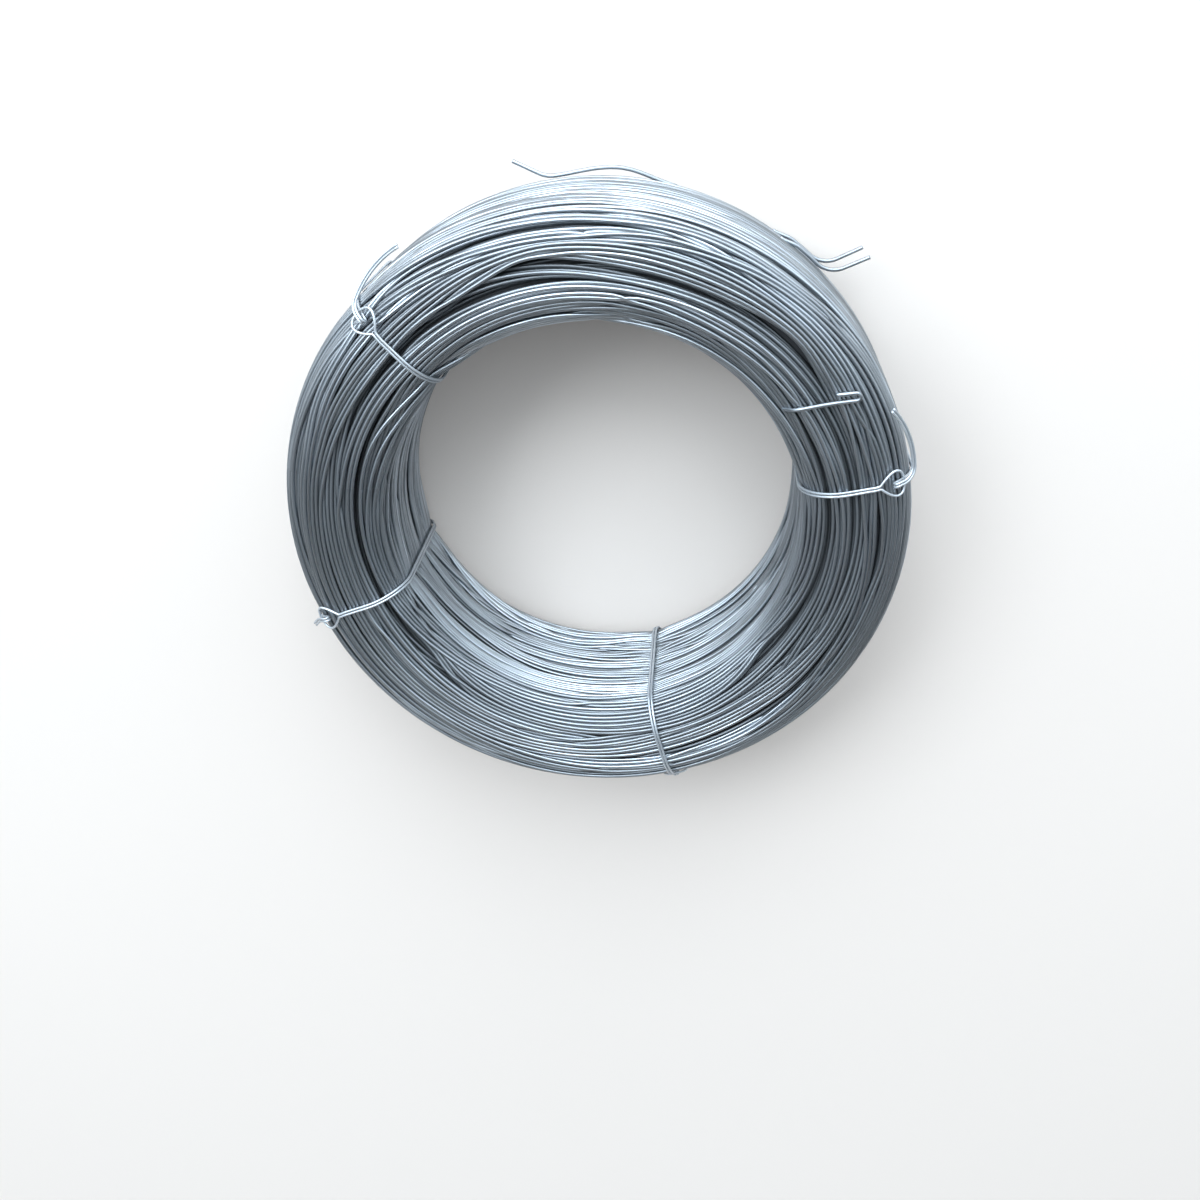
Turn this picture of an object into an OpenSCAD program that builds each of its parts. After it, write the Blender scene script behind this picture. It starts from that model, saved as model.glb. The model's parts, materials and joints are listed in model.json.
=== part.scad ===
// Coil of galvanized steel wire, as it comes off the take-up block: loose turns,
// bound by hand with four wire ties and laid down on one end.
// Origin: on the axis of the bore, on the floor. +Z points up, along that axis.

/* [Coil] */
// Diameter inside the innermost turns, set by the take-up block
bore_d = 410; // [300:5:560]
// Depth of the winding, from the bore out to the outermost turns
winding = 110; // [60:2:160]
// Height of the coil along its axis
coil_h = 200; // [120:5:300]
// Radius of the round shoulders of the coil's section
shoulder_r = 42; // [20:1:50]

/* [Wire] */
// Diameter of the coiled wire
wire_d = 4; // [3:0.25:6]
// Clearance between a loose wire end and the turns that it lies on
end_gap = 0.3; // [0.2:0.1:0.6]

/* [Ties] */
// Diameter of the tie wire, which goes round the coil doubled
tie_d = 2.5; // [2:0.25:4]
// Inside radius of the eye at the fold of a tie
eye_r = 11; // [8:0.5:14]
// Depth of a tie below the crests of the turns, in the bore and underneath
tie_sink = 0.2; // [0.1:0.1:1]
// Clearance between a tie and the turns that it holds
tie_gap = 0.3; // [0.2:0.1:0.6]
// Place of the first tie around the coil
tie_1_angle = 31; // [10:1:80]
// Place of the second tie around the coil
tie_2_angle = 117; // [95:1:170]
// Place of the third tie around the coil
tie_3_angle = 203; // [185:1:215]
// Place of the fourth tie around the coil
tie_4_angle = 325; // [310:1:350]
// Place of the eyes on the outer shoulder, from the outer wall up to the end
high_eye_angle = 62; // [40:1:70]
// Place of the second tie's eye, which sits lower
low_eye_angle = 14; // [10:1:30]
// Length of a tie's tails where they are cut short
short_tail = 9; // [4:1:20]
// Length of a tie's tails where they are left long
long_tail = 65; // [30:1:80]

/* [Free ends] */
// Height of the coil's outer end, where it springs off the outer wall
outer_end_z = 34; // [10:1:60]
// Length of the outer end beyond its bend
outer_end_len = 28; // [15:1:60]
// Distance that the tip of the inner end keeps from the outer wall
inner_end_margin = 30; // [15:1:60]
// Length of the hook at that tip, back from its bend
inner_hook_len = 18; // [8:1:25]
// Length of the two tails beyond their bends
tail_len = 26; // [10:1:40]

/* [Hidden] */
$fn = 180;

bore_r = bore_d / 2;
outer_r = bore_r + winding;
wire_r = wire_d / 2;
tie_r = tie_d / 2;
// The shoulders leave at least a few turns flat on each side of the section
least_flat = 4 * wire_d;
shoulder = min(shoulder_r, (winding - least_flat) / 2, (coil_h - least_flat) / 2);
turn_shoulder = shoulder - wire_r;

// Each turn shows half of an octagon: a flat crest and two flanks
crest_half_angle = 22.5;
crest_reach = wire_r / cos(crest_half_angle);
valley_rise = wire_r * tan(crest_half_angle);

// Centre line of a tie: proud on the top and outer wall, let in elsewhere
proud = tie_gap + tie_r;
let_in = tie_sink + tie_r;
tie_reach = shoulder + proud;
// The two wires of a tie lie side by side, and the tails cross the eye one wire up
pair_half = (tie_d + tie_gap) / 2;
pair_rise = tie_d + 2 * tie_gap;
eye_mid_r = eye_r + tie_r;
eye_width = 1.3 * eye_mid_r;
tail_lead = 5;
tail_swing_r = 14;
tail_curve_r = 90;
channel_clear = tie_r + tie_gap;
channel_half = pair_half + channel_clear;
channel_angle = 2 * asin(channel_half / bore_r);
cut_margin = 10;

tie_sides = 8;
end_sides = 8;
shoulder_steps = 8;
eye_neck_angle = 40;
eye_steps = 14;
bend_steps = 6;

// Places of the free ends around the coil, and the bend that lifts each one off
outer_end_angle = 289;
outer_end_hug_angle = 8;
outer_end_bend_r = 30;
outer_end_bend_angle = 32;
inner_end_angle = 227;
inner_end_slant_angle = -5.5;
inner_end_start_angle = 128;
inner_hook_r = 0.9 * wire_d;
tail_angle = 240;
tail_step_angle = -1.5;
tail_hug_angle = 8;
tail_bend_r = 26;
tail_bend_angle = 66;
tail_pitch = 3 * wire_d;
tail_z = 40;

function unit(v) = v / norm(v);
function dir(angle) = [cos(angle), sin(angle)];
function ease(u) = let (v = min(max(u, 0), 1)) v * v * (3 - 2 * v);

// Points of an arc, each with the angle of its outward normal
function arc(centre, r, from, to, steps) =
    [for (i = [0 : steps])
        let (a = from + (to - from) * i / steps)
            [each centre + r * dir(a), a]];
function places(arc_points) = [for (p = arc_points) [p.x, p.y]];
// Steps for a part of a shoulder, short enough that a wire keeps clear of the turns
function steps_over(angle) = max(2, ceil(abs(angle) / 7));

// Centres of the turns along a flat side and round a shoulder of the section
function turn_row(from, to, angle) =
    let (count = max(1, round(norm(to - from) / wire_d)))
        [for (i = [0 : count - 1])
            [each from + (to - from) * (i + 0.5) / count, angle]];
function turn_corner(centre, from) =
    let (count = max(1, round(turn_shoulder * PI / 2 / wire_d)))
        [for (i = [0 : count - 1])
            let (a = from + 90 * (i + 0.5) / count)
                [each centre + turn_shoulder * dir(a), a]];

// Shoulder centres of the section, in the plane of radius and height
low_out = [outer_r - shoulder, shoulder];
top_out = [outer_r - shoulder, coil_h - shoulder];
top_in = [bore_r + shoulder, coil_h - shoulder];
low_in = [bore_r + shoulder, shoulder];

turns = concat(
    turn_row(low_in - [0, turn_shoulder], low_out - [0, turn_shoulder], -90),
    turn_corner(low_out, -90),
    turn_row(low_out + [turn_shoulder, 0], top_out + [turn_shoulder, 0], 0),
    turn_corner(top_out, 0),
    turn_row(top_out + [0, turn_shoulder], top_in + [0, turn_shoulder], 90),
    turn_corner(top_in, 90),
    turn_row(top_in - [turn_shoulder, 0], low_in - [turn_shoulder, 0], 180),
    turn_corner(low_in, 180));

// Section of the coil: a crest for each turn and a valley before the next
function turn_outline() =
    [for (i = [0 : len(turns) - 1])
        let (t = turns[i],
             next = turns[(i + 1) % len(turns)],
             at = [t.x, t.y],
             middle = (at + [next.x, next.y]) / 2)
            each [at + crest_reach * dir(t.z - crest_half_angle),
                  at + crest_reach * dir(t.z + crest_half_angle),
                  middle + valley_rise * unit(dir(t.z) + dir(next.z))]];

// Shoulder centres of a tie's loop: the two mixed corners step from let in to proud
tie_top_in = [bore_r + let_in + shoulder, coil_h + proud - shoulder];
tie_low_out = [outer_r + proud - shoulder, let_in + shoulder];

// Channel under a tie, down the bore and across the underside
module tie_channel(angle) {
    floor_points = concat(
        places(arc(tie_top_in, shoulder - channel_clear, 90, 180, shoulder_steps)),
        places(arc(low_in, shoulder - let_in - channel_clear, 180, 270, shoulder_steps)),
        places(arc(tie_low_out, shoulder - channel_clear, 270, 360, shoulder_steps)));
    clear_points = [
        [outer_r + cut_margin, tie_low_out.y],
        [outer_r + cut_margin, -cut_margin],
        [bore_r - cut_margin, -cut_margin],
        [bore_r - cut_margin, coil_h + cut_margin],
        [tie_top_in.x, coil_h + cut_margin]];
    rotate([0, 0, angle - channel_angle / 2])
        rotate_extrude(angle = channel_angle)
            polygon(concat(floor_points, clear_points));
}

// Wire of round section along an open path. Each ring takes its way up from the ring
// before it and squares it to the path, so the wire doesn't twist.
function squared(v, along) = unit(v - (v * along) * along);
module swept_wire(path, first_up, r, sides) {
    last = len(path) - 1;
    along = [for (i = [0 : last]) unit(path[min(i + 1, last)] - path[max(i - 1, 0)])];
    ups = [for (i = 0, up = squared(first_up, along[0]);
                i <= last;
                up = squared(up, along[min(i + 1, last)]), i = i + 1) up];
    rings = [for (i = [0 : last])
        let (across = cross(along[i], ups[i]))
            each [for (j = [0 : sides - 1])
                let (a = 360 * (j + 0.5) / sides)
                    path[i] + r * (cos(a) * across + sin(a) * ups[i])]];
    walls = [for (i = [0 : last - 1])
        for (j = [0 : sides - 1])
            let (a = i * sides + j,
                 b = i * sides + (j + 1) % sides,
                 c = (i + 1) * sides + (j + 1) % sides,
                 d = (i + 1) * sides + j)
                each [[a, b, c], [a, c, d]]];
    caps = [[for (j = [sides - 1 : -1 : 0]) j],
            [for (j = [0 : sides - 1]) last * sides + j]];
    polyhedron(rings, concat(walls, caps));
}

// Angles on the outer shoulder at which a tie opens into its eye, and its tails turn up
function neck_at(eye_angle) = eye_angle + asin(eye_mid_r / tie_reach);
function turn_at(eye_angle) = eye_angle - asin(pair_rise / tie_reach);

// Side view of one wire of a tie: from the neck of the eye over the top, down the bore,
// back underneath and up the outer wall, then up through the eye and over its fold
function tie_side(eye_angle) =
    let (leave = turn_at(eye_angle),
         turn_centre = top_out + (tie_reach + pair_rise) * dir(leave))
        concat(
            places(arc(top_out, tie_reach, neck_at(eye_angle), 90, steps_over(90 - neck_at(eye_angle)))),
            places(arc(tie_top_in, shoulder, 90, 180, shoulder_steps)),
            places(arc(low_in, shoulder - let_in, 180, 270, shoulder_steps)),
            places(arc(tie_low_out, shoulder, 270, 360, shoulder_steps)),
            places(arc(top_out, tie_reach, 0, leave, steps_over(leave))),
            places(arc(turn_centre, pair_rise, leave + 150, leave, bend_steps)));

// Tail of one wire of a tie: on past the fold, swinging aside, then curving along the coil
function tie_tail(eye_angle, side, swing_angle, length) =
    let (leave = turn_at(eye_angle),
         from = top_out + (tie_reach + 2 * pair_rise) * dir(leave),
         back = dir(leave - 90),
         way = sign(swing_angle),
         offset = way * side * pair_half,
         swing_end = abs(swing_angle) - 90,
         curve_step = length / tail_curve_r * 180 / PI / bend_steps,
         swing_centre = [tail_lead, tail_swing_r],
         curve_centre = swing_centre - (tail_curve_r - tail_swing_r) * dir(swing_end),
         plan = concat(
             places(arc(swing_centre, tail_swing_r - offset, -90, swing_end, bend_steps)),
             places(arc(curve_centre, tail_curve_r - offset, swing_end + curve_step,
                        swing_end + bend_steps * curve_step, bend_steps - 1))))
        [for (p = plan)
            let (at = from + p.x * back) [at.x, way * p.y, at.y]];

// Eye of a tie: the fold of its wire, opened round and lifted over the pair that it holds
function tie_eye(eye_angle) =
    [for (i = [0 : eye_steps])
        let (a = eye_neck_angle + (360 - 2 * eye_neck_angle) * i / eye_steps,
             on = eye_mid_r * cos(a),
             up = sqrt(tie_reach * tie_reach - on * on) + pair_rise * (1 - cos(a)) / 2,
             at = top_out + up * dir(eye_angle) + on * dir(eye_angle + 90),
             open = eye_width * sin(a) * sin(a / 2) + pair_half * cos(a / 2) * abs(cos(a / 2)))
            [at.x, -open, at.y]];

function flipped(list) = [for (i = [len(list) - 1 : -1 : 0]) list[i]];

// One tie: a doubled wire round the section, with its tails drawn through its own eye
module tie(angle, eye_angle, swing_angle, tail) {
    side = tie_side(eye_angle);
    function wire(way) = concat(
        [for (p = side) [p.x, way * pair_half, p.y]],
        tie_tail(eye_angle, way, swing_angle, tail));
    path = concat(flipped(wire(-1)), tie_eye(eye_angle), wire(1));
    rotate([0, 0, angle])
        swept_wire(path, [each dir(eye_angle), 0], tie_r, tie_sides);
}

// Radius at which a loose end lies on the outer wall or its lower shoulder, at a height
function seat_at(z) =
    let (rise = max(low_out.y - z, 0))
        low_out.x + sqrt(pow(shoulder + end_gap + wire_r, 2) - rise * rise);

// Loose end of wire: lies along the outer wall, then bends away and runs on straight
module wall_end(angle, z, hug, bend_r, bend, straight) {
    seat_r = seat_at(z);
    bend_centre = [seat_r + bend_r, 0];
    steps = 7;
    hugging = [for (i = [0 : steps]) seat_r * dir(-hug * (1 - i / steps))];
    leaving = [for (i = [1 : steps])
        bend_centre + bend_r * dir(180 - bend * i / steps)];
    tip = leaving[steps - 1] + straight * dir(90 - bend);
    plan = concat(hugging, leaving, [tip]);
    rotate([0, 0, angle])
        swept_wire([for (p = plan) [p.x, p.y, z]], [0, 0, 1], wire_r, end_sides);
}

module wire_coil() {
    color("lightslategray")
        difference() {
            rotate_extrude() polygon(turn_outline());
            tie_channel(tie_1_angle);
            tie_channel(tie_2_angle);
            tie_channel(tie_3_angle);
            tie_channel(tie_4_angle);
        }
}
module tie_1() { color("silver") tie(tie_1_angle, high_eye_angle, 25, short_tail); }
module tie_2() { color("silver") tie(tie_2_angle, low_eye_angle, -20, short_tail); }
module tie_3() { color("silver") tie(tie_3_angle, high_eye_angle, 85, long_tail); }
module tie_4() { color("silver") tie(tie_4_angle, high_eye_angle, -65, long_tail); }

// Outer end of the coiled wire, springing off the outer wall
module outer_end() {
    color("lightsteelblue")
        wall_end(outer_end_angle, outer_end_z, outer_end_hug_angle,
                 outer_end_bend_r, outer_end_bend_angle, outer_end_len);
}

// Inner end of the coiled wire, bent over the bore's shoulder and across the top, with
// its tip hooked back
module inner_end() {
    seat = end_gap + wire_r;
    over = places(arc(top_in, shoulder + seat, inner_end_start_angle, 90, shoulder_steps));
    tip = [outer_r - inner_end_margin, coil_h + seat];
    side = concat(over, [tip]);
    turned = [for (p = side)
        inner_end_angle + inner_end_slant_angle * (p.x - side[0].x) / (tip.x - side[0].x)];
    plan = [for (i = [0 : len(side) - 1]) side[i].x * dir(turned[i])];
    last = len(side) - 1;
    heading = unit(plan[last] - plan[last - 1]);
    left = [-heading.y, heading.x];
    hook = [for (i = [1 : bend_steps])
        let (a = 180 * i / bend_steps)
            plan[last] + inner_hook_r * (sin(a) * heading + (1 - cos(a)) * left)];
    hook_tip = hook[bend_steps - 1] - inner_hook_len * heading;
    color("lightsteelblue")
        swept_wire(concat([for (i = [0 : last]) [each plan[i], side[i].y]],
                          [for (p = concat(hook, [hook_tip])) [each p, tip.y]]),
                   [each dir(inner_end_angle + 90), 0], wire_r, end_sides);
}

// Two tails of wire that stand out side by side from the outer wall
module tail_ends() {
    color("lightsteelblue")
        for (i = [0, 1])
            mirror([0, 1, 0])
                wall_end(-tail_angle - tail_step_angle * i, tail_z + tail_pitch * i, tail_hug_angle,
                         tail_bend_r, tail_bend_angle, tail_len);
}

wire_coil();
tie_1();
tie_2();
tie_3();
tie_4();
outer_end();
inner_end();
tail_ends();
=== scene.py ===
# %% [markdown]
# # A coil of galvanized wire
# The object is a ring of steel wire with a zinc coat, wound loosely on a block, bound
# by hand with four wire ties and laid down on one end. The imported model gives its
# bore, its height and the places of the ties. This lesson lays real strands of wire
# over that ring, works out how they cross without cutting into each other, and gives
# them a worn zinc finish.

# %% Load the frame
import json

import bpy
import numpy as np
from mathutils import Matrix, Vector


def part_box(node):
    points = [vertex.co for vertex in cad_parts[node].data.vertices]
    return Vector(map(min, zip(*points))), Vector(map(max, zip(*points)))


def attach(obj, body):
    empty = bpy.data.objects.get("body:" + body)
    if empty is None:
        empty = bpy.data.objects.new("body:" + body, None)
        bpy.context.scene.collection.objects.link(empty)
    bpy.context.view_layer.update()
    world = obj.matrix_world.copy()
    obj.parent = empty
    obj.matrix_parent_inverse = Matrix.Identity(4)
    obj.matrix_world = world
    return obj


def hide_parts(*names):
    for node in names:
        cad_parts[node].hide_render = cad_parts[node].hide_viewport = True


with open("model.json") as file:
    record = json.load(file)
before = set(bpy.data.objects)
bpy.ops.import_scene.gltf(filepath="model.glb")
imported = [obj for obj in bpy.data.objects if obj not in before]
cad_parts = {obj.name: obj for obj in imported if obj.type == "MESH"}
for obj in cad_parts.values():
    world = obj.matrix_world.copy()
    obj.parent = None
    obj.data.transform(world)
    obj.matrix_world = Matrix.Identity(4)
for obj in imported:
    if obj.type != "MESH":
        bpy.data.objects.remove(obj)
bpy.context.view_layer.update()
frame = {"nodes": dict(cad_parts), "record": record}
random = np.random.default_rng(11)
print("frame nodes:", sorted(frame["nodes"]))

# %% [markdown]
# ## The ring's section
# Cut across, the winding is a rectangle with round shoulders. Its sizes come from the
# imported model: the bore from the record's mount, the rest from the box of the turned
# solid. Two functions describe the outline. One walks along it, and the other says how
# far a point lies inside it, which is what keeps strands from leaving the winding.

# %% Sizes of the section
coil_low, coil_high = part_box("wire_coil")
MOUNTS = {mount["name"]: mount for mount in frame["record"]["mounts"]}
BORE_R = MOUNTS["bore"]["dims"]["r_mm"] / 1000
OUTER_R = (coil_high.x - coil_low.x) / 2
COIL_H = coil_high.z - coil_low.z
SHOULDER_R = 0.042
WIRE_R = 0.002
MIDDLE = np.array([(OUTER_R + BORE_R) / 2, COIL_H / 2])
HALF = np.array([(OUTER_R - BORE_R) / 2, COIL_H / 2])
FLAT = 2 * (HALF - SHOULDER_R)
BEND = np.pi / 2 * SHOULDER_R
PERIMETER = 2 * FLAT.sum() + 4 * BEND
print(f"bore {2 * BORE_R:.3f} m, outside {2 * OUTER_R:.3f} m, height {COIL_H:.3f} m")


def outline_point(along):
    """Point and outward normal of the section's outline.

    The outline starts at the middle of the underside and runs up the outer wall, over
    the top and down the bore. Straight stretches and quarter circles take turns: a
    straight one adds its length to the start, a quarter circle turns the normal by
    length over radius.
    """
    along = np.mod(along + FLAT[0] / 2, PERIMETER)
    lengths = [FLAT[0], BEND, FLAT[1], BEND, FLAT[0], BEND, FLAT[1], BEND]
    starts = np.concatenate([[0], np.cumsum(lengths)])
    stretch = np.clip(np.searchsorted(starts, along, side="right") - 1, 0, 7)
    into = along - starts[stretch]
    corners = np.array([[-1, -1], [1, -1], [1, -1], [1, 1], [1, 1], [-1, 1], [-1, 1], [-1, -1]])
    facing = np.radians([-90, -90, 0, 0, 90, 90, 180, 180])[stretch]
    is_bend = (stretch % 2)[..., None]
    angle = facing + is_bend[..., 0] * into / SHOULDER_R
    normal = np.stack([np.cos(angle), np.sin(angle)], -1)
    forward = np.stack([-np.sin(facing), np.cos(facing)], -1)
    corner = MIDDLE + corners[stretch] * (HALF - SHOULDER_R)
    return corner + (1 - is_bend) * into[..., None] * forward + SHOULDER_R * normal, normal


def outline_distance(points):
    """Signed distance to the outline, negative inside, and the outward direction.

    The distance to a rounded rectangle is the length of what sticks out of the inner
    rectangle, less the shoulder radius.
    """
    offset = points - MIDDLE
    beyond = np.abs(offset) - (HALF - SHOULDER_R)
    outside = np.maximum(beyond, 0)
    reach = np.linalg.norm(outside, axis=-1)
    distance = reach + np.minimum(beyond.max(-1), 0) - SHOULDER_R
    nearest_side = np.where((beyond[..., 0] > beyond[..., 1])[..., None], [1.0, 0.0], [0.0, 1.0])
    direction = outside / np.maximum(reach, 1e-9)[..., None]
    direction = np.where((reach > 1e-9)[..., None], direction, nearest_side)
    return distance, direction * np.sign(offset)


# %% [markdown]
# ## How the strands wander
# Wire that is wound fast doesn't lie turn beside turn. It comes off in locks of a dozen
# parallel turns, like locks of hair, and each lock slides over the last at a small
# angle. A lock swings to and fro along the outline as it goes round the ring, and each
# strand adds a little swing of its own. Sums of sines with whole periods do this,
# because they close on themselves after one turn.

# %% Lay the strands
STRANDS = 306
STEPS = 200
LOCK_FEWEST, LOCK_MOST = 7, 15
LOCK_SWINGS = [0.011, 0.009, 0.004, 0.001]
STRAND_SWINGS = [0.0014, 0.0010, 0.0004]
SPREAD_OVER = 12
around = np.arange(STEPS) * 2 * np.pi / STEPS


def swings(count, sizes):
    """One closed random curve for each row: a sum of sines, one for each size given."""
    order = np.arange(1, len(sizes) + 1)[None, :, None]
    phase = random.uniform(0, 2 * np.pi, (count, len(sizes), 1))
    size = random.normal(0, 1, (count, len(sizes), 1)) * np.array(sizes)[None, :, None]
    return (size * np.sin(order * around + phase)).sum(1)


def ease(share):
    """Smooth step from 0 to 1: three squares less two cubes."""
    share = np.clip(share, 0, 1)
    return share * share * (3 - 2 * share)


def deal_locks():
    """Lock number of each strand: runs of seven to fifteen strands, side by side."""
    sizes = random.integers(LOCK_FEWEST, LOCK_MOST + 1, STRANDS)
    return np.repeat(np.arange(STRANDS), sizes)[:STRANDS]


def spread_evenly(wanted):
    """Slides strands along the outline so that no long stretch is crowded or bare.

    In each cut the strands are put in order. The shift to an even spacing is worked out
    for each and then averaged over its neighbours in that order, so a whole lock moves
    together and keeps its shape.
    """
    order = np.argsort(wanted, axis=0)
    evenly = (np.arange(STRANDS) + 0.5)[:, None] / STRANDS * PERIMETER
    needed = evenly - np.take_along_axis(wanted, order, 0)
    reach = np.arange(1 - SPREAD_OVER, SPREAD_OVER)
    weight = SPREAD_OVER - np.abs(reach)
    shared = sum(w * np.roll(needed, s, 0) for w, s in zip(weight, reach)) / weight.sum()
    shift = np.empty_like(wanted)
    np.put_along_axis(shift, order, shared, 0)
    return wanted + shift


lock = deal_locks()
locks = lock.max() + 1
home = (np.arange(STRANDS) + 0.5) / STRANDS * PERIMETER
lock_home = np.array([home[lock == number].mean() for number in range(locks)])
lock_half = np.array([np.ptp(home[lock == number]) / 2 for number in range(locks)]) + WIRE_R
lock_line = lock_home[:, None] + swings(locks, LOCK_SWINGS)
slide = (home - lock_home[lock])[:, None] + swings(STRANDS, STRAND_SWINGS)
along = spread_evenly(lock_line[lock] + slide)
print(f"{STRANDS} strands in {locks} locks, {STEPS} steps around the ring")

# %% [markdown]
# ## Long creases
# A few partings are long and deep. The longest runs along the inner shoulder, where one
# layer of the winding ends on the last, and shorter ones part the locks on top, outside
# and in the bore. Each is given by three points of angle round the ring and distance
# along the outline, and a parabola through them is its path. The strands near a crease
# are combed along it: each keeps to its own side, at an even distance.

# %% Creases
CREASE_HALF = 0.0022
CREASE_REACH = 0.016
COMB_REACH = 0.018
# Three points for each crease: degrees round the ring, metres along the outline
CREASES = [
    [(325, 0.305), (355, 0.299), (418, 0.319)],
    [(147, 0.329), (182, 0.308), (224, 0.307)],
    [(26, 0.364), (48, 0.382), (78, 0.374)],
    [(231, 0.255), (265, 0.274), (299, 0.253)],
    [(238, 0.220), (257, 0.211), (277, 0.214)],
    [(278, 0.232), (300, 0.230), (321, 0.226)],
    [(350, 0.239), (364, 0.237), (379, 0.238)],
    [(183, 0.252), (191, 0.254), (199, 0.256)],
]


def crease_path(points):
    """Steps that a crease passes, its place along the outline there, and its strength.

    The strength fades in over the first quarter of the crease and out over the last.
    """
    angle, place = np.array(points).T
    turn = np.mod(np.degrees(around) - angle[0], 360) + angle[0]
    share = (turn - angle[0]) / (angle[2] - angle[0])
    steps = np.flatnonzero(share < 1)
    path = np.polyval(np.polyfit(angle, place, 2), turn[steps])
    return steps, path, ease(4 * share[steps]) * ease(4 * (1 - share[steps]))


def comb(lines):
    """Draws strands near each crease to an even distance from it, the nearest the most.

    A strand's distance is its average over the crease, and the nearest strands are moved
    off by half the width of the crease besides.
    """
    lines = lines.copy()
    for steps, path, fade in crease_paths:
        off_path = lines[:, steps] - path
        distance = (off_path * fade).sum(1) / fade.sum()
        hold = np.exp(-(distance / COMB_REACH) ** 2)
        opened = distance + np.sign(distance) * (CREASE_HALF + WIRE_R) * hold
        lines[:, steps] += hold[:, None] * fade * (opened[:, None] - off_path)
    return lines


crease_paths = [crease_path(points) for points in CREASES]
along = comb(along)
print(f"{len(CREASES)} creases over {sum(len(steps) for steps, _, _ in crease_paths)} steps")

# %% [markdown]
# ## Which lock lies on top
# Where two locks meet, one dives under the other. Each lock gets a rank, and the lower
# of a pair sinks as they close in on each other. Here and there a lock is also rounded
# on its back, so that a dark groove opens between it and the next and closes again.
# Together with three layers of strands this gives the depth that every strand would
# like to lie at.

# %% Depth of the strands
LOCK_DOME = 0.0040
DOME_POWER = 3
DOME_LIMIT = 1.1
LOCK_DIVE = 0.0040
FULL_DIVE_AT = 0.6
GROOVE_SWINGS = [0.3, 0.4, 0.4]
DEPTH_SWINGS = [0.0006, 0.0005, 0.0003]
LAYER_DEPTH = 0.0036
LAYER_DEAL = [0, 0, 1, 1, 2]
rank = random.permutation(locks)
lock_middle = np.array([along[lock == number].mean(0) for number in range(locks)])
apart = lock_middle[:, None] - lock_middle[None]
apart = np.abs(apart - PERIMETER * np.round(apart / PERIMETER))
overlap = 1 - apart / (lock_half[:, None] + lock_half[None])[..., None]
below = rank[:, None] < rank[None]
dive = (LOCK_DIVE * ease(overlap / FULL_DIVE_AT) * below[..., None]).max(1)
groove = ease(0.5 + swings(locks, GROOVE_SWINGS))
off_middle = np.clip(np.abs(slide) / lock_half[lock][:, None], 0, DOME_LIMIT)
dome = LOCK_DOME * groove[lock] * off_middle ** DOME_POWER
sunk = (dive[lock] + dome).T
deals = np.tile(LAYER_DEAL, (STRANDS // len(LAYER_DEAL) + 1, 1))
layer = random.permuted(deals, axis=1).ravel()[:STRANDS]
depth = WIRE_R + layer * LAYER_DEPTH + sunk + swings(STRANDS, DEPTH_SWINGS).T
edge, normal = outline_point(along.T)
section = edge - depth[..., None] * normal
print(f"locks dive by up to {1000 * dive.max():.1f} mm")

# %% [markdown]
# ## What the ties and creases ask of the strands
# A tie is pulled tight, so the strands dip under its wire. The outline is drawn in
# there, little on top and outside and more in the bore and underneath, where the tie is
# let in. A crease keeps a gap open: a strand that leans over its line is pushed back to
# the side that it was combed to. Each crease is turned into points and directions in
# the cuts that it passes, so that one line of numpy moves all strands near it.

# %% Ties and creases in the cuts
TIE_ANGLES = np.radians([31, 117, 203, 325])
TIE_R = 0.00125
PINCH_WIDTH = np.radians(4.5)
PINCH_LET_IN = 0.0048
PINCH_PROUD = 0.0006
PINCH_EVENS = 0.8
CREASE_PUSH = 0.4
from_tie = np.angle(np.exp(1j * (around[:, None] - TIE_ANGLES)))
pinch = np.exp(-(from_tie / PINCH_WIDTH) ** 2).max(1)[:, None]
sunk = sunk * (1 - PINCH_EVENS * pinch)
depth = np.maximum(depth, WIRE_R + sunk)


def pinch_depth(direction):
    """How far the outline is drawn in at the ties: most in the bore and underneath."""
    let_in = 0.5 - 0.5 * direction.sum(-1) / np.abs(direction).sum(-1)
    return pinch * (PINCH_PROUD + (PINCH_LET_IN - PINCH_PROUD) * let_in)


def crease_frame(steps, path, fade):
    """A crease's steps, place, normal, way across and strength, and each strand's side of it."""
    middle, facing = outline_point(path)
    sideways = np.stack([-facing[:, 1], facing[:, 0]], -1)
    side = np.sign(((along[:, steps] - path) * fade).sum(1))
    return steps, middle[:, None], facing[:, None], sideways[:, None], fade[:, None], side


def part_strands(points):
    """Pushes discs off the creases, each to its own side."""
    for steps, middle, facing, sideways, fade, side in crease_frames:
        offset = points[steps] - middle
        inward = -(offset * facing).sum(-1)
        across = (offset * sideways).sum(-1)
        lack = np.clip(CREASE_HALF + WIRE_R - side * across, 0, CREASE_HALF + 2 * WIRE_R)
        push = CREASE_PUSH * side * lack * fade * (inward < CREASE_REACH)
        points[steps] += push[..., None] * sideways
    return points


crease_frames = [crease_frame(*crease) for crease in crease_paths]
print(f"{len(TIE_ANGLES)} ties draw the outline in by up to {1000 * PINCH_LET_IN:.1f} mm")

# %% [markdown]
# ## Letting the strands settle
# Where two strands want the same place, one has to ride over the other. Seen in one
# cut through the ring, the strands are discs that may not overlap. Each pass pushes
# overlapping discs apart, draws each strand to its depth, keeps all of them inside the
# outline, and then smooths every strand along its length, because wire is stiff. A
# physics run could do the same, but far more slowly.

# %% Settle the strands
NEIGHBOURS = 12
NEIGHBOURS_KEPT = 12
PASSES = 140
PUSH_SHARE = 0.35
SUNK_SHARE = 0.6
DEPTH_PULL = 0.04
DEPTH_PULL_LIMIT = 0.002
STIFFNESS = 0.24


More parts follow.
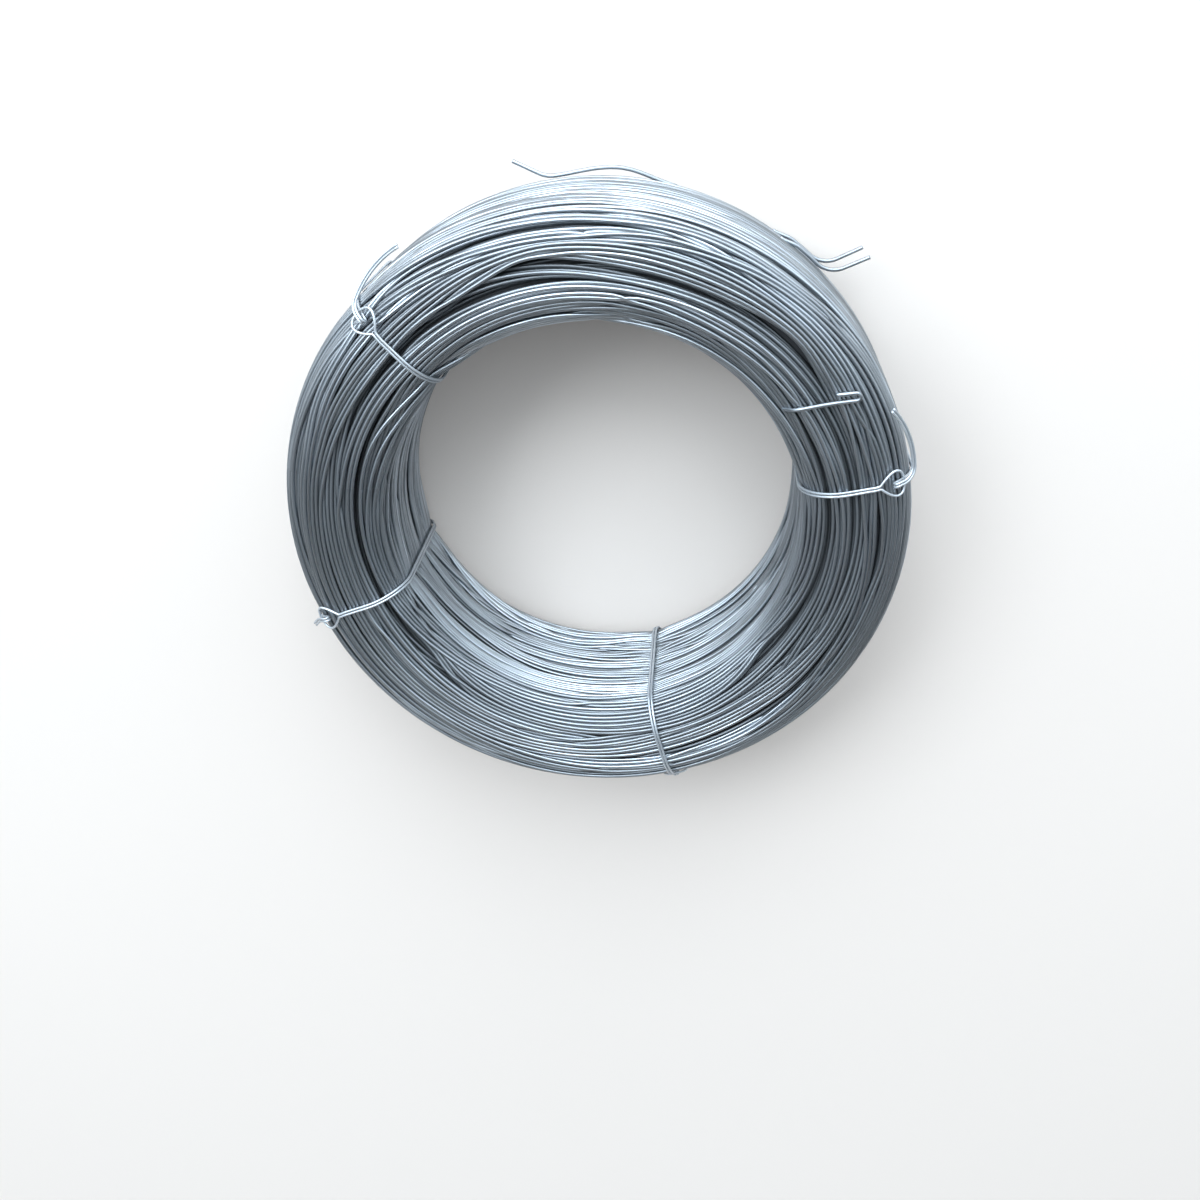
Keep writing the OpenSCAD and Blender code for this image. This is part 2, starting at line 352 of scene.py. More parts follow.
def nearest_discs(points):
    """For each disc of each cut, the numbers of its nearest neighbours."""
    x = points[..., 0].astype(np.float32)
    z = points[..., 1].astype(np.float32)
    gap = (x[:, :, None] - x[:, None, :]) ** 2 + (z[:, :, None] - z[:, None, :]) ** 2
    return np.argpartition(gap, NEIGHBOURS, axis=2)[:, :, :NEIGHBOURS]


def push_apart(points, near):
    """Moves overlapping discs apart, each by a share of the overlap."""
    offset = points[:, :, None, :] - points[np.arange(STEPS)[:, None, None], near]
    gap = np.sqrt((offset ** 2).sum(-1))
    overlap = np.where(gap > 1e-7, np.maximum(2 * WIRE_R - gap, 0), 0)
    return points + PUSH_SHARE * (offset * (overlap / np.maximum(gap, 1e-7))[..., None]).sum(2)


def hold_in(points):
    """Keeps discs inside the drawn-in outline and draws each to the depth that it wants."""
    distance, direction = outline_distance(points)
    drawn_in = np.maximum(pinch_depth(direction), SUNK_SHARE * sunk)
    too_far = np.maximum(distance + WIRE_R + drawn_in, 0)
    too_deep = np.clip(-distance - depth, -DEPTH_PULL_LIMIT, DEPTH_PULL_LIMIT)
    return points - (too_far - DEPTH_PULL * too_deep)[..., None] * direction


def stiffen(points):
    """Moves each point of a strand towards the middle of its two neighbours along it."""
    return points + STIFFNESS * (np.roll(points, 1, 0) + np.roll(points, -1, 0) - 2 * points)


for each_pass in range(PASSES):
    if each_pass % NEIGHBOURS_KEPT == 0:
        near = nearest_discs(section)
    section = stiffen(hold_in(part_strands(push_apart(section, near))))
section = hold_in(section)
crest_depth = -outline_distance(section)[0] - WIRE_R
print(f"half of the strand crests lie within {1000 * np.median(crest_depth):.1f} mm of the outline")

# %% [markdown]
# ## From lines to wire
# A strand is a circle carried along its line. At each point the line's direction, the
# way outwards and the way up give a cross frame, and the ring of points lies in it.
# All strands of a group are worked out together as one array and go into one mesh. A
# length along the wire is kept as a UV map, and each strand carries its own tone and
# its depth in the winding for the finish to use.

# %% Sweep strands into meshes
STRAND_SIDES = 6
LOCK_TONE = 0.8
STRAND_TONE = 0.7


def tube_points(lines, radius, sides):
    """Rings of points round closed lines of shape (line, step, 3).

    The direction along is the difference of the neighbours, the first cross direction
    is that direction crossed with up, and the second completes the frame.
    """
    ahead = np.roll(lines, -1, 1) - np.roll(lines, 1, 1)
    ahead = ahead / np.linalg.norm(ahead, axis=-1, keepdims=True)
    up = np.array([0.0, 0.0, 1.0])
    across = np.cross(ahead, up)
    across = across / np.linalg.norm(across, axis=-1, keepdims=True)
    lift = np.cross(across, ahead)
    turn = 2 * np.pi * np.arange(sides) / sides
    ring = np.cos(turn)[:, None] * across[:, :, None, :] + np.sin(turn)[:, None] * lift[:, :, None, :]
    return lines[:, :, None, :] + radius * ring


def tube_quads(count, steps, sides, closed=True):
    """Corner numbers of the tube walls, and the unwrapped (step, side) of each corner."""
    spans = steps if closed else steps - 1
    line, step, side = np.meshgrid(np.arange(count), np.arange(spans), np.arange(sides), indexing="ij")
    corner_step = np.stack([step, step + 1, step + 1, step], -1)
    corner_side = np.stack([side, side, side + 1, side + 1], -1)
    number = (line[..., None] * steps + corner_step % steps) * sides + corner_side % sides
    return number.reshape(-1, 4), corner_step.reshape(-1, 4), corner_side.reshape(-1, 4)


def make_mesh(name, points, quads, uv, attributes, caps=()):
    """Puts points, quads, a UV map and point attributes into a new smooth-shaded object."""
    mesh = bpy.data.meshes.new(name)
    mesh.vertices.add(len(points))
    mesh.vertices.foreach_set("co", points.astype(np.float32).ravel())
    loops = np.concatenate([quads.ravel()] + [np.asarray(cap) for cap in caps]).astype(np.int32)
    totals = np.concatenate([np.full(len(quads), 4), [len(cap) for cap in caps]]).astype(np.int32)
    mesh.loops.add(len(loops))
    mesh.loops.foreach_set("vertex_index", loops)
    mesh.polygons.add(len(totals))
    mesh.polygons.foreach_set("loop_start", (np.cumsum(totals) - totals).astype(np.int32))
    mesh.polygons.foreach_set("loop_total", totals)
    mesh.polygons.foreach_set("use_smooth", np.ones(len(totals), bool))
    layer = mesh.uv_layers.new(name="wire_length")
    flat_uv = np.zeros((len(loops), 2), np.float32)
    flat_uv[:len(uv)] = uv
    layer.data.foreach_set("uv", flat_uv.ravel())
    for label, values in attributes.items():
        mesh.attributes.new(label, "FLOAT", "POINT").data.foreach_set("value", values.astype(np.float32))
    mesh.update(calc_edges=True)
    mesh.validate()
    piece = bpy.data.objects.new(name, mesh)
    bpy.context.scene.collection.objects.link(piece)
    return piece


def wire_piece(name, lines, radius, sides, tone, depth_of):
    """A mesh of closed wires along lines of shape (line, step, 3), with length UV and attributes."""
    count, steps = lines.shape[:2]
    points = tube_points(lines, radius, sides).reshape(-1, 3)
    quads, corner_step, corner_side = tube_quads(count, steps, sides)
    mean_step = np.linalg.norm(np.diff(lines, axis=1), axis=-1).mean()
    wall = 2 * np.pi * radius / sides
    uv = np.stack([corner_step * mean_step, corner_side * wall], -1)
    attributes = {
        "strand_tone": np.repeat(tone, steps * sides),
        "strand_depth": np.repeat(depth_of.ravel(), sides),
    }
    return make_mesh(name, points, quads[:, ::-1], uv[:, ::-1].reshape(-1, 2), attributes)


def ring_lines(points):
    """Section points of shape (step, strand, 2) carried round the ring, as (strand, step, 3)."""
    x = points[..., 0] * np.cos(around)[:, None]
    y = points[..., 0] * np.sin(around)[:, None]
    return np.stack([x, y, points[..., 1]], -1).transpose(1, 0, 2)


GROUPS = ["turns_underside", "turns_outer_wall", "turns_outer_shoulder", "turns_top",
          "turns_bore_wall"]
lines = ring_lines(section)
tone = LOCK_TONE * random.normal(0, 1, locks)[lock] + STRAND_TONE * random.normal(0, 1, STRANDS)
in_order = np.argsort(np.mod(along.mean(1), PERIMETER))
turn_pieces = []
for group, members in zip(GROUPS, np.array_split(in_order, len(GROUPS))):
    piece = wire_piece(group, lines[members], WIRE_R, STRAND_SIDES, tone[members],
                       crest_depth.T[members] * 1000)
    turn_pieces.append(piece)
    print(group, "has", 2 * len(piece.data.polygons), "triangles")

# %% [markdown]
# ## Turns further down
# Through the grooves one sees more turns below. They are hardly lit, so they can be
# fewer and plainer: evenly spaced strands with a gentle swing, swept like the others.
# Their depth gives them mostly the painted shade of the finish.

# %% Deep turns
DEEP_STRANDS = 100
DEEP_STEPS = 110
DEEP_SIDES = 5
DEEP_DEPTH = 0.0135
DEEP_SWINGS = [0.0015, 0.001, 0.0005]


def deep_lines():
    """Evenly spaced lines at one depth below the outline, each with a small swing."""
    spots = (np.arange(DEEP_STRANDS) / DEEP_STRANDS * PERIMETER)[:, None]
    picked = np.linspace(0, STEPS, DEEP_STEPS, endpoint=False).astype(int)
    swing = swings(DEEP_STRANDS, DEEP_SWINGS)[:, picked]
    place, facing = outline_point(spots + swing)
    place = place - DEEP_DEPTH * facing
    angle = around[picked]
    return np.stack([place[..., 0] * np.cos(angle), place[..., 0] * np.sin(angle), place[..., 1]], -1)


deep = deep_lines()
deep_piece = wire_piece("turns_below", deep, WIRE_R, DEEP_SIDES, random.normal(0, 1, DEEP_STRANDS),
                        np.full(deep.shape[:2], 1000 * DEEP_DEPTH))
turn_pieces.append(deep_piece)
print("turns_below has", 2 * len(deep_piece.data.polygons), "triangles")

# %% [markdown]
# ## The heart of the winding
# Below these turns all is in shade. A dark body stands for the hundreds of turns inside
# and closes the view. It is the section's outline, drawn in by a fixed depth and
# carried round the ring.

# %% Heart
HEART_DEPTH = 0.0150
HEART_SIDES = 72
HEART_STEPS = 120
HEART_UV_STEP, HEART_UV_SIDE = 0.013, 0.007


def heart_piece():
    """The outline drawn in by a fixed depth, carried round the axis as a closed grid."""
    place, facing = outline_point(np.arange(HEART_SIDES) / HEART_SIDES * PERIMETER)
    profile = place - HEART_DEPTH * facing
    turn = 2 * np.pi * np.arange(HEART_STEPS) / HEART_STEPS
    x = np.cos(turn)[:, None] * profile[:, 0]
    y = np.sin(turn)[:, None] * profile[:, 0]
    points = np.stack([x, y, np.broadcast_to(profile[:, 1], x.shape)], -1).reshape(-1, 3)
    quads, corner_step, corner_side = tube_quads(1, HEART_STEPS, HEART_SIDES)
    uv = np.stack([corner_step.ravel() * HEART_UV_STEP, corner_side.ravel() * HEART_UV_SIDE], -1)
    return make_mesh("heart_of_winding", points, quads, uv, {})


heart = heart_piece()
print("heart has", 2 * len(heart.data.polygons), "triangles")

# %% [markdown]
# ## The ties
# Each tie is a doubled wire round the section. Where the wire is folded it opens into
# an eye. The binder draws the two tails through the eye, pulls the tie tight and bends
# the tails back over the fold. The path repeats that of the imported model: proud of the
# winding on top and outside, let in below the strands in the bore and underneath. Here
# the two wires also wander a little, as hand work does.

# %% Ties
TIE_GAP = 0.0003
CHANNEL_GAP = 0.0002
TIE_PROUD = TIE_GAP + TIE_R
TIE_LET_IN = CHANNEL_GAP + TIE_R
TIE_REACH = SHOULDER_R + TIE_PROUD
PAIR_HALF = TIE_R + TIE_GAP / 2
PAIR_RISE = 2 * TIE_R + 2 * TIE_GAP
EYE_R = 0.011
EYE_MID_R = EYE_R + TIE_R
EYE_WIDTH = 1.3 * EYE_MID_R
EYE_NECK = 40
LAST_TURN = np.radians(150)
TIE_SWAY = 0.0020
TIE_WANDER = 0.0003
TAIL_LEAD = 0.005
TAIL_SWING_R = 0.014
TAIL_CURVE_R = 0.090
HIGH_EYE, LOW_EYE = np.radians([62, 14])
SHORT_TAIL, LONG_TAIL = 0.009, 0.065
# Place of the eye on the shoulder, swing of the tails in degrees, length of the tails
TIES = [(HIGH_EYE, 25, SHORT_TAIL), (LOW_EYE, -20, SHORT_TAIL),
        (HIGH_EYE, 85, LONG_TAIL), (HIGH_EYE, -65, LONG_TAIL)]
QUARTER = np.pi / 2
TOP_OUT = MIDDLE + (HALF - SHOULDER_R)


def toward(angle):
    """Direction in the plane of the section, from an angle."""
    return np.stack([np.cos(angle), np.sin(angle)], -1)


def arc(centre, radius, start, stop, steps):
    """Points of an arc in the plane of the section."""
    return np.asarray(centre) + radius * toward(np.linspace(start, stop, steps))


def tie_side(eye):
    """Side view of one wire: from the neck of the eye all round, then up through the eye."""
    top_in = np.array([BORE_R + TIE_LET_IN + SHOULDER_R, COIL_H + TIE_PROUD - SHOULDER_R])
    low_in = np.array([BORE_R + SHOULDER_R, SHOULDER_R])
    low_out = np.array([OUTER_R + TIE_PROUD - SHOULDER_R, TIE_LET_IN + SHOULDER_R])
    neck = eye + np.arcsin(EYE_MID_R / TIE_REACH)
    leave = eye - np.arcsin(PAIR_RISE / TIE_REACH)
    turn_centre = TOP_OUT + (TIE_REACH + PAIR_RISE) * toward(leave)
    return np.concatenate([arc(TOP_OUT, TIE_REACH, neck, QUARTER, 12),
                           arc(top_in, SHOULDER_R, QUARTER, 2 * QUARTER, 20),
                           arc(low_in, SHOULDER_R - TIE_LET_IN, 2 * QUARTER, 3 * QUARTER, 20),
                           arc(low_out, SHOULDER_R, 3 * QUARTER, 4 * QUARTER, 20),
                           arc(TOP_OUT, TIE_REACH, 0, leave, 16),
                           arc(turn_centre, PAIR_RISE, leave + LAST_TURN, leave, 14)])


def tie_tail(eye, side, swing, length):
    """Tail of one wire: on past the fold, swinging aside, then curving along the coil.

    Two arcs follow each other in a plane that touches the shoulder. The second has the
    larger radius and its centre lies on the line through the first centre and the join.
    """
    leave = eye - np.arcsin(PAIR_RISE / TIE_REACH)
    start = TOP_OUT + (TIE_REACH + 2 * PAIR_RISE) * toward(leave)
    way = np.sign(swing)
    offset = way * side * PAIR_HALF
    swing_end = np.abs(swing) - QUARTER
    swing_centre = np.array([TAIL_LEAD, TAIL_SWING_R])
    curve_centre = swing_centre - (TAIL_CURVE_R - TAIL_SWING_R) * toward(swing_end)
    swing_arc = arc(swing_centre, TAIL_SWING_R - offset, -QUARTER, swing_end, 14)
    curve_arc = arc(curve_centre, TAIL_CURVE_R - offset, swing_end, swing_end + length / TAIL_CURVE_R, 16)
    plan = np.concatenate([swing_arc, curve_arc[1:]])
    place = start + plan[:, :1] * toward(leave - QUARTER)
    return np.stack([place[:, 0], way * plan[:, 1], place[:, 1]], -1)


def tie_eye(eye):
    """The eye: a drop-shaped ring that lies on the shoulder and lifts over the tails."""
    angle = np.radians(np.linspace(EYE_NECK, 360 - EYE_NECK, 42))
    along_tie = EYE_MID_R * np.cos(angle)
    height = np.sqrt(TIE_REACH ** 2 - along_tie ** 2) + PAIR_RISE * (1 - np.cos(angle)) / 2
    place = TOP_OUT + height[:, None] * toward(eye) + along_tie[:, None] * toward(eye + QUARTER)
    half = np.cos(angle / 2)
    opening = EYE_WIDTH * np.sin(angle) * np.sin(angle / 2) + PAIR_HALF * half * np.abs(half)
    return np.stack([place[:, 0], -opening, place[:, 1]], -1)


def tie_line(eye, swing, tail):
    """Centre line of a whole tie as (radius, sideways, height): tail, wire, eye, wire, tail."""
    side_view = tie_side(eye)
    way_round = np.linspace(0, 1, len(side_view))
    fade = np.sin(np.pi * way_round) ** 0.5
    sway = fade * TIE_SWAY * np.sin(2 * np.pi * (way_round + random.uniform()))
    wires = []
    for side in (-1, 1):
        own = fade * TIE_WANDER * np.sin(6 * np.pi * way_round + random.uniform(0, 6))
        spread = side * (PAIR_HALF + np.abs(own)) + sway
        wire = np.stack([side_view[:, 0], spread, side_view[:, 1]], -1)
        wires.append(np.concatenate([wire, tie_tail(eye, side, swing, tail)]))
    return np.concatenate([wires[0][::-1], tie_eye(eye), wires[1]])


print(f"a tie's eye is {1000 * np.ptp(tie_eye(HIGH_EYE)[:, 1]):.0f} mm wide")

# %% [markdown]
# ## Bending wire
# A tie turns every way, so the simple frame of the strands, which needs a way up, would
# flip over where the wire runs straight up. Here the frame is carried along the line
# instead, from ring to ring. The line gets even steps first, so that the rings are as
# close in the tight turns as elsewhere, and both cut ends are closed.

# %% Bend the tie wires
TIE_SIDES = 10
TIE_STEP = 0.0022
FIRST_ACROSS = [0.31, 0.52, 0.79]


def turned(line, angle):
    """A line given as (radius, sideways, height), placed at an angle round the axis."""
    x = line[:, 0] * np.cos(angle) - line[:, 1] * np.sin(angle)
    y = line[:, 0] * np.sin(angle) + line[:, 1] * np.cos(angle)
    return np.stack([x, y, line[:, 2]], -1)


def even_steps(line, spacing):
    """The same line with points at an even spacing along it."""
    reach = np.concatenate([[0], np.cumsum(np.linalg.norm(np.diff(line, axis=0), axis=1))])
    at = np.linspace(0, reach[-1], int(round(reach[-1] / spacing)) + 1)
    return np.stack([np.interp(at, reach, line[:, axis]) for axis in range(3)], -1)


def frame_sweep(line, radius, sides):
    """Ring points round any line, with a frame that doesn't twist.

    The first cross direction is carried from ring to ring and made square to the line
    again at each step.
    """
    ahead = np.gradient(line, axis=0)
    ahead = ahead / np.linalg.norm(ahead, axis=1, keepdims=True)
    across = np.zeros_like(line)
    start = np.cross(ahead[0], FIRST_ACROSS)
    across[0] = start / np.linalg.norm(start)
    for step in range(1, len(line)):
        carried = across[step - 1] - ahead[step] * (across[step - 1] @ ahead[step])
        across[step] = carried / np.linalg.norm(carried)
    lift = np.cross(ahead, across)
    turn = 2 * np.pi * np.arange(sides) / sides
    ring = np.cos(turn)[:, None] * across[:, None] + np.sin(turn)[:, None] * lift[:, None]
    return line[:, None] + radius * ring


def bent_wire(name, line, radius, sides, tone):
    """One wire with cut ends along any line in space, as a mesh object."""
    steps = len(line)
    points = frame_sweep(line, radius, sides).reshape(-1, 3)
    quads, corner_step, corner_side = tube_quads(1, steps, sides, False)
    spacing = np.linalg.norm(np.diff(line, axis=0), axis=1).mean()
    wall = 2 * np.pi * radius / sides
    uv = np.stack([corner_step.ravel() * spacing, corner_side.ravel() * wall], -1)
    caps = [np.arange(sides), (np.arange(sides) + (steps - 1) * sides)[::-1]]
    attributes = {"strand_tone": np.full(len(points), tone), "strand_depth": np.zeros(len(points))}
    return make_mesh(name, points, quads, uv, attributes, caps)


tie_pieces = []
for number, (eye, swing, tail) in enumerate(TIES):
    line = turned(tie_line(eye, np.radians(swing), tail), TIE_ANGLES[number])
    line = even_steps(line, TIE_STEP)
    piece = bent_wire(f"tie_wire_{number + 1}", line, TIE_R, TIE_SIDES, 0.0)
    tie_pieces.append(piece)
    print(piece.name, "is", round(1000 * TIE_STEP * len(line)), "mm long")

# %% [markdown]
# ## Loose ends
# The outer end of the wire springs off the foot of the outer wall, the inner end is
# bent over the edge of the bore and across the top, and two tails stand out side by
# side. Each lies on the winding first, then bends away.

# %% Loose ends
END_GAP = 0.0003
END_SIDES = 10
END_STEP = 0.002
END_TONE = -0.8
WALL_END_SUNK = 0.004
INNER_END_SUNK = 0.005
INNER_END_RISE = 1.6
INNER_END_START = 128
INNER_END_ANGLE = 227
INNER_END_SLANT = 5.5
INNER_TIP_INSET = 0.030
HOOK_R = 0.9 * 2 * WIRE_R
HOOK_LEN = 0.018


def wall_end(angle, height, hug, bend_r, bend, reach, mirror=1, spring=0.0):
    """A wire that lies on the outer wall, then leaves it on an arc and runs on straight.

    It comes up from among the strands over the first half of its way along the wall,
    and may spring clear of the wall by a little, most in the middle.
    """
    sink = max(SHOULDER_R - height, 0)
    seat = OUTER_R - SHOULDER_R + np.sqrt((SHOULDER_R + END_GAP + WIRE_R) ** 2 - sink ** 2)
    share = np.linspace(0, 1, 40)
    lying = np.radians(-hug) * (1 - share)
    radius = seat - WALL_END_SUNK * (1 - ease(2 * share)) + spring * np.sin(np.pi * share) ** 2
    first = radius[:, None] * toward(lying)
    leave = np.radians(180 - bend * np.linspace(0, 1, 20)[1:])
    second = np.array([seat + bend_r, 0]) + bend_r * toward(leave)
    heading = np.array([np.sin(np.radians(bend)), np.cos(np.radians(bend))])
    third = second[-1] + np.linspace(0, reach, 12)[1:, None] * heading
    plan = np.concatenate([first, second, third])
    line = np.stack([plan[:, 0], mirror * plan[:, 1], np.full(len(plan), height)], -1)
    return turned(line, np.radians(angle))


def inner_end_line():
    """A wire over the shoulder of the bore and across the top, with its tip hooked back.

    It comes up from among the strands over the first part of its way.
    """
    seat = END_GAP + WIRE_R
    centre = np.array([BORE_R + SHOULDER_R, COIL_H - SHOULDER_R])
    angles = np.radians(np.linspace(INNER_END_START, 90, 24))
    rise = (seat - INNER_END_SUNK * (1 - ease(np.linspace(0, INNER_END_RISE, 24))))[:, None]
    over = centre + (SHOULDER_R + rise) * toward(angles)
    tip = np.array([OUTER_R - INNER_TIP_INSET, COIL_H + seat])
    across = over[-1] + np.linspace(0, 1, 20)[1:-1, None] * (tip - over[-1])
    side = np.concatenate([over, across, [tip]])
    share = (side[:, 0] - side[0, 0]) / (tip[0] - side[0, 0])
    plan = side[:, :1] * toward(np.radians(INNER_END_ANGLE - INNER_END_SLANT * share))
    heading = plan[-1] - plan[-2]
    heading = heading / np.linalg.norm(heading)
    left = np.array([-heading[1], heading[0]])
    bend = np.radians(np.linspace(0, 180, 20))[1:, None]
    hook = plan[-1] + HOOK_R * (np.sin(bend) * heading + (1 - np.cos(bend)) * left)
    back = hook[-1] - np.linspace(0, HOOK_LEN, 8)[1:, None] * heading
    flat = np.concatenate([hook, back])
    return np.concatenate([np.column_stack([plan, side[:, 1]]),
                           np.column_stack([flat, np.full(len(flat), tip[1])])])


# Angle round the ring in degrees and height come first, then the shape
TAIL_SHAPE = dict(hug=8, bend_r=0.026, bend=66, reach=0.026, mirror=-1)
END_LINES = {
    "wire_outer_end": wall_end(289, 0.034, hug=22, bend_r=0.030, bend=32, reach=0.028, spring=0.005),
    "wire_inner_end": inner_end_line(),
    "wire_tail_1": wall_end(240, 0.040, **TAIL_SHAPE),
    "wire_tail_2": wall_end(238.5, 0.052, **TAIL_SHAPE),
}
end_pieces = {}
for name, line in END_LINES.items():
    line = even_steps(line, END_STEP)
    end_pieces[name] = bent_wire(name, line, WIRE_R, END_SIDES, END_TONE)
    print(name, "is", round(1000 * END_STEP * len(line)), "mm long")

# %% [markdown]
# ## Zinc
# A zinc coat starts bright and dulls to a bluish grey. Along the wire the grey comes
# and goes, and the drawing die has left fine streaks. Strands deep in the winding are
# darkened with painted shade. One node group works this out from the wire's length map,
# the strand's tone and its depth, and both wire finishes use it with their own colours.

# %% Zinc coat
# Noise scale along the wire, scale round it, and detail
MOTTLE = (14.0, 60.0, 3.0)
STREAK = (40.0, 1400.0, 2.0)
NOISE_PER_TONE = 7.0
MOTTLE_GAIN, MOTTLE_SHIFT = 1.3, -0.3
STREAK_GAIN = 0.5
TONE_GAIN = 0.24
ROUGH_DULL, ROUGH_CHANGE = 0.46, -0.16
ROUGH_BURIED = 0.2


def zinc_group():
    """Node group: mottled, streaked zinc with painted shade deep down. Puts out a colour, a roughness and
    a height.
    """
    group = bpy.data.node_groups.new("zinc_coat", "ShaderNodeTree")
    for label, kind, preset in (("Dull", "NodeSocketColor", (0.2, 0.2, 0.2, 1)),
                                ("Bright", "NodeSocketColor", (0.6, 0.6, 0.6, 1)),
                                ("Painted shade", "NodeSocketColor", (0.03, 0.03, 0.03, 1)),
                                ("Painted shade depth", "NodeSocketFloat", 9.0)):
        socket = group.interface.new_socket(label, in_out="INPUT", socket_type=kind)
        socket.default_value = preset
    for label, kind in (("Colour", "NodeSocketColor"), ("Roughness", "NodeSocketFloat"),
                        ("Height", "NodeSocketFloat")):
        group.interface.new_socket(label, in_out="OUTPUT", socket_type=kind)
    nodes = group.nodes
    link = group.links.new
    given = nodes.new("NodeGroupInput")
    result = nodes.new("NodeGroupOutput")
    length = nodes.new("ShaderNodeUVMap")
    length.uv_map = "wire_length"
    tone_in = nodes.new("ShaderNodeAttribute")
    tone_in.attribute_name = "strand_tone"
    depth_in = nodes.new("ShaderNodeAttribute")
    depth_in.attribute_name = "strand_depth"

    shift = nodes.new("ShaderNodeCombineXYZ")
    link(tone_in.outputs["Fac"], shift.inputs["Z"])
    place = nodes.new("ShaderNodeVectorMath")
    place.operation = "ADD"
    link(length.outputs["UV"], place.inputs[0])
    link(shift.outputs["Vector"], place.inputs[1])

    def noise(scale_along, scale_round, detail):
        """Noise stretched along the wire."""
        mapping = nodes.new("ShaderNodeMapping")
        mapping.inputs["Scale"].default_value = (scale_along, scale_round, NOISE_PER_TONE)
        link(place.outputs["Vector"], mapping.inputs["Vector"])
        texture = nodes.new("ShaderNodeTexNoise")
        texture.inputs["Scale"].default_value = 1.0
        texture.inputs["Detail"].default_value = detail
        link(mapping.outputs["Vector"], texture.inputs["Vector"])
        return texture.outputs["Fac"]

    def math(operation, first, second, clamp=False):
        """A Math node on two sockets or numbers."""
        node = nodes.new("ShaderNodeMath")
        node.operation = operation
        node.use_clamp = clamp
        for socket, value in zip(node.inputs, (first, second)):
            if isinstance(value, (int, float)):
                socket.default_value = value
            else:
                link(value, socket)
        return node.outputs[0]

    mottle = noise(*MOTTLE)
    streak = noise(*STREAK)
    share = math("MULTIPLY_ADD", mottle, MOTTLE_GAIN)
    share.node.inputs[2].default_value = MOTTLE_SHIFT
    share = math("ADD", share, math("MULTIPLY", math("SUBTRACT", streak, 0.5), STREAK_GAIN))
    share = math("ADD", share, math("MULTIPLY", tone_in.outputs["Fac"], TONE_GAIN), clamp=True)
    zinc = nodes.new("ShaderNodeMix")
    zinc.data_type = "RGBA"
    link(share, zinc.inputs["Factor"])
    link(given.outputs["Dull"], zinc.inputs["A"])
    link(given.outputs["Bright"], zinc.inputs["B"])
    # Painted shade: the deeper a strand lies, the more its colour goes to the dark shade colour.
    buried = math("DIVIDE", depth_in.outputs["Fac"], given.outputs["Painted shade depth"], clamp=True)
    depth_shaded = nodes.new("ShaderNodeMix")
    depth_shaded.data_type = "RGBA"
    link(buried, depth_shaded.inputs["Factor"])
    link(zinc.outputs["Result"], depth_shaded.inputs["A"])
    link(given.outputs["Painted shade"], depth_shaded.inputs["B"])
    link(depth_shaded.outputs["Result"], result.inputs["Colour"])
    rough = math("MULTIPLY_ADD", share, ROUGH_CHANGE)
    rough.node.inputs[2].default_value = ROUGH_DULL
    link(math("ADD", rough, math("MULTIPLY", buried, ROUGH_BURIED)), result.inputs["Roughness"])
    link(streak, result.inputs["Height"])
    return group


zinc = zinc_group()
print(zinc.name, "has", len(zinc.nodes), "nodes")

# %% [markdown]
# ## Wire and shade
# The wound wire has weathered: its grey is darker, and painted shade darkens it further
# down in the winding. The ties are newer and brighter, and their coat is less of a mirror.
# Both get the same group, with a bump from the streaks that is far too fine to model. The
# heart of the winding is only shade, with faint turns running round it.

# %% Finishes
EDGE_TINT = (0.60, 0.64, 0.68, 1)
STREAK_BUMP, STREAK_HEIGHT = 0.25, 0.0002
SHADE_ROUGH = 0.85
SHADE_NOISE = (3.0, 260.0, 1.0)
SHADE_DARK = (0.006, 0.006, 0.007, 1)
SHADE_LIGHT = (0.05, 0.052, 0.056, 1)


def zinc_material(name, group, dull, bright, painted_shade, painted_shade_depth, metallic):
    """A wire finish: the zinc group feeding a metal surface with fine drawn streaks."""
    material = bpy.data.materials.new(name)
    material.use_nodes = True
    nodes = material.node_tree.nodes
    link = material.node_tree.links.new
    surface = nodes["Principled BSDF"]
    surface.inputs["Metallic"].default_value = metallic
    surface.inputs["Specular Tint"].default_value = EDGE_TINT
    coat = nodes.new("ShaderNodeGroup")
    coat.node_tree = group
    for label, colour in (("Dull", dull), ("Bright", bright), ("Painted shade", painted_shade)):
        coat.inputs[label].default_value = (*colour, 1)
    coat.inputs["Painted shade depth"].default_value = painted_shade_depth
    bump = nodes.new("ShaderNodeBump")
    bump.inputs["Strength"].default_value = STREAK_BUMP
    bump.inputs["Distance"].default_value = STREAK_HEIGHT
    link(coat.outputs["Colour"], surface.inputs["Base Color"])
    link(coat.outputs["Roughness"], surface.inputs["Roughness"])
    link(coat.outputs["Height"], bump.inputs["Height"])
    link(bump.outputs["Normal"], surface.inputs["Normal"])
    return material


def heart_material():
    """Deep shade inside the winding: almost black, with faint turns running round."""
    material = bpy.data.materials.new("winding_shade")
    material.use_nodes = True
    nodes = material.node_tree.nodes
    link = material.node_tree.links.new
    surface = nodes["Principled BSDF"]
    surface.inputs["Roughness"].default_value = SHADE_ROUGH
    length = nodes.new("ShaderNodeUVMap")
    length.uv_map = "wire_length"
    mapping = nodes.new("ShaderNodeMapping")
    mapping.inputs["Scale"].default_value = SHADE_NOISE
    texture = nodes.new("ShaderNodeTexNoise")
    texture.inputs["Scale"].default_value = 1.0
    ramp = nodes.new("ShaderNodeValToRGB")
    ramp.color_ramp.elements[0].color = SHADE_DARK
    ramp.color_ramp.elements[1].color = SHADE_LIGHT
    link(length.outputs["UV"], mapping.inputs["Vector"])
    link(mapping.outputs["Vector"], texture.inputs["Vector"])
    link(texture.outputs["Fac"], ramp.inputs["Fac"])
    link(ramp.outputs["Color"], surface.inputs["Base Color"])
    return material
